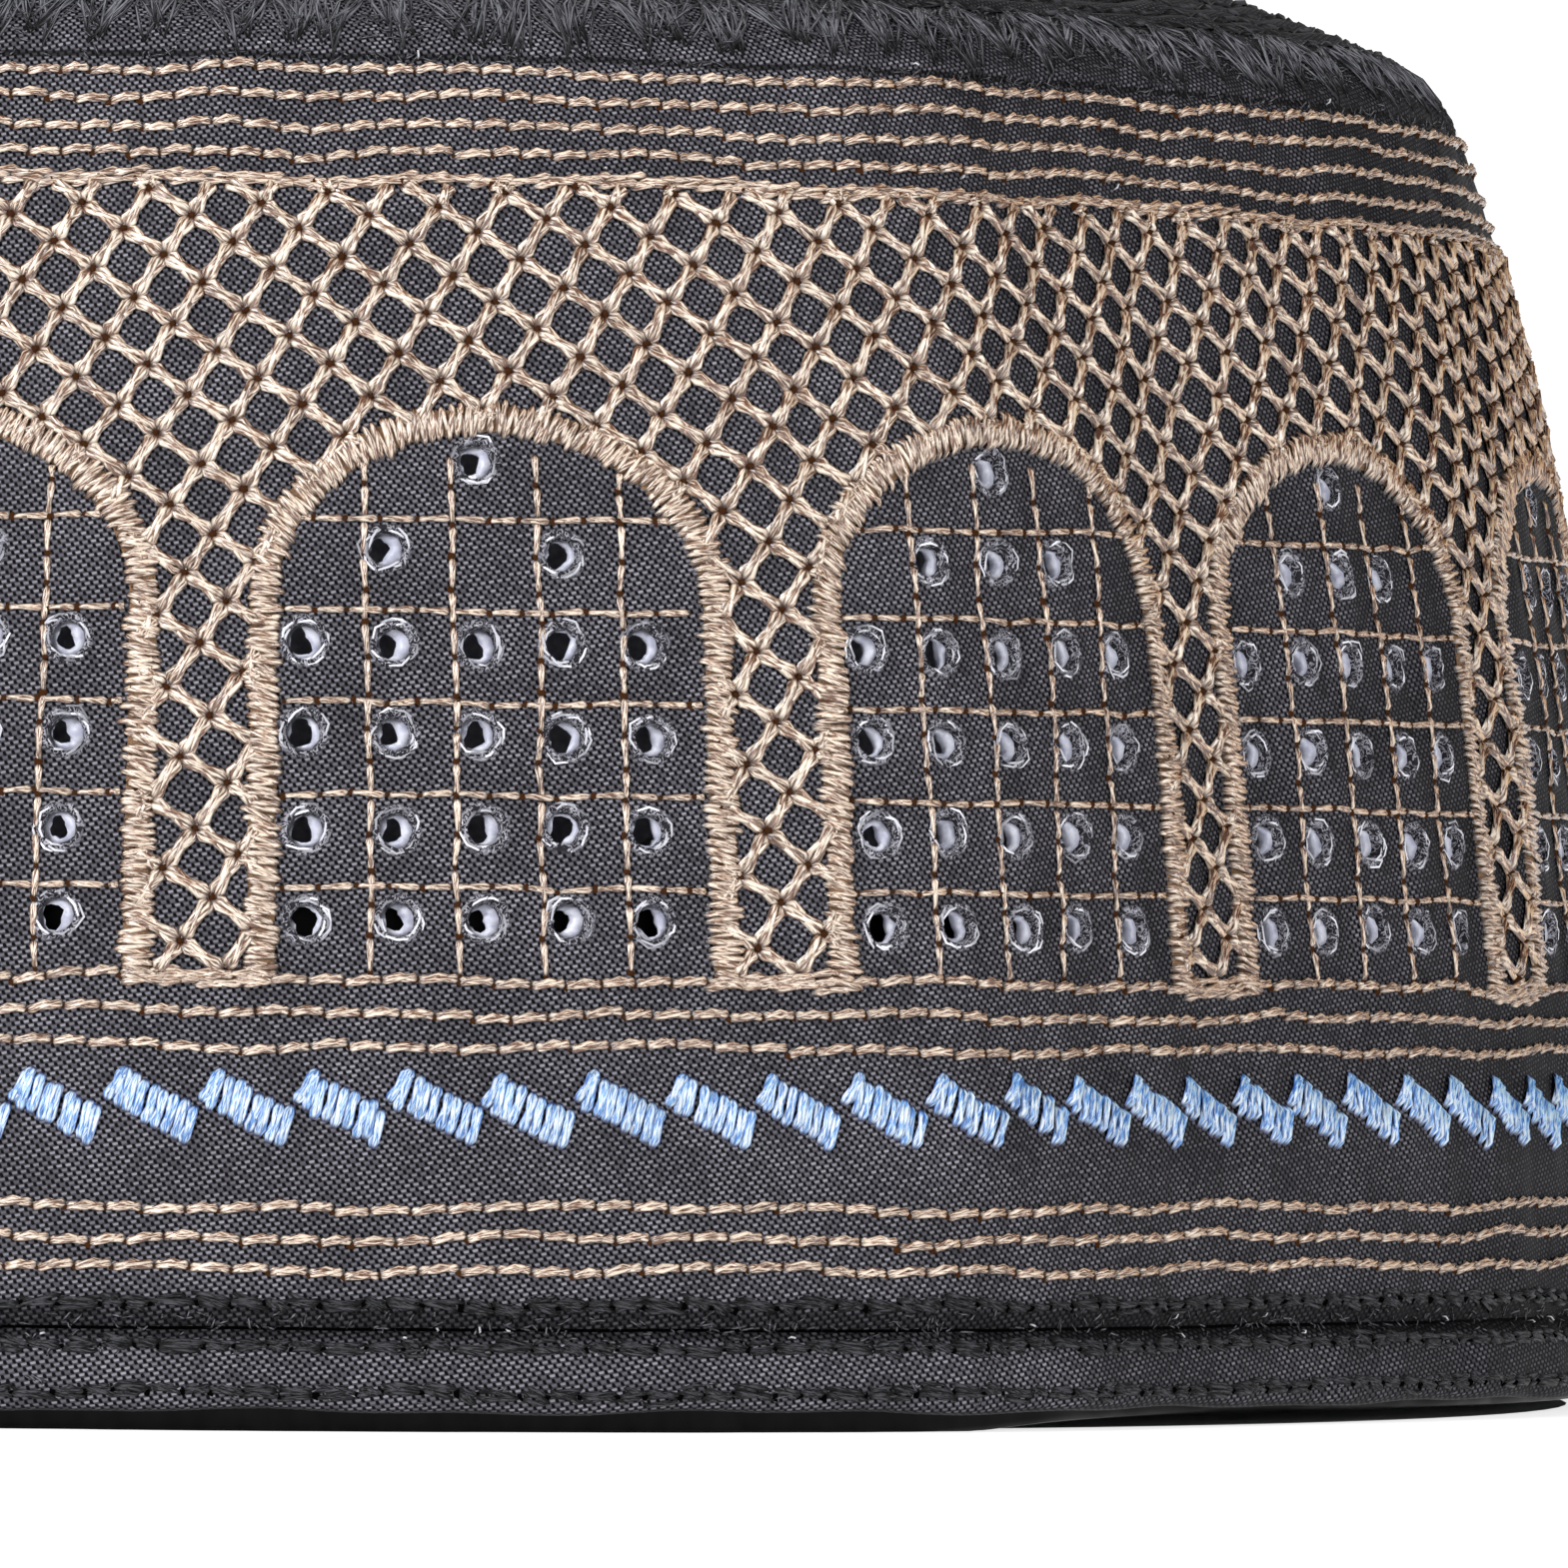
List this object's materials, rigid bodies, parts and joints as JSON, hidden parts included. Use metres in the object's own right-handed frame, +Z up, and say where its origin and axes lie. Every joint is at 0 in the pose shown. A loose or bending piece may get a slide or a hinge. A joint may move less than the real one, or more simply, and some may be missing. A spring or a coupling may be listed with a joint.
{
  "type": "embroidered prayer cap",
  "caption": "Round stiff prayer cap of dark woven cloth, with arched panels of eyelets, running stitches and satin embroidery, standing on its open mouth.",
  "frame": {"origin": "on the resting plane, under the middle of the cap", "axes": "+Z up through the crown; -Y towards the front, where the eyelets are cut through; +X to the wearer's left when the front is worn forward"},
  "size_m": [0.1808, 0.1822, 0.0977],
  "materials": {
    "charcoal_cloth": "woven charcoal polyester, slightly glossy threads",
    "pale_interlining": "matt non-woven interlining",
    "black_sweatband": "smooth black coated cloth"
  },
  "bodies": {
    "root": {"side_wall": "charcoal_cloth", "stiffener": "pale_interlining", "hem_band": "charcoal_cloth", "sweatband": "black_sweatband", "rim_binding": "charcoal_cloth", "top_panel": "charcoal_cloth"}
  },
  "joints": []
}
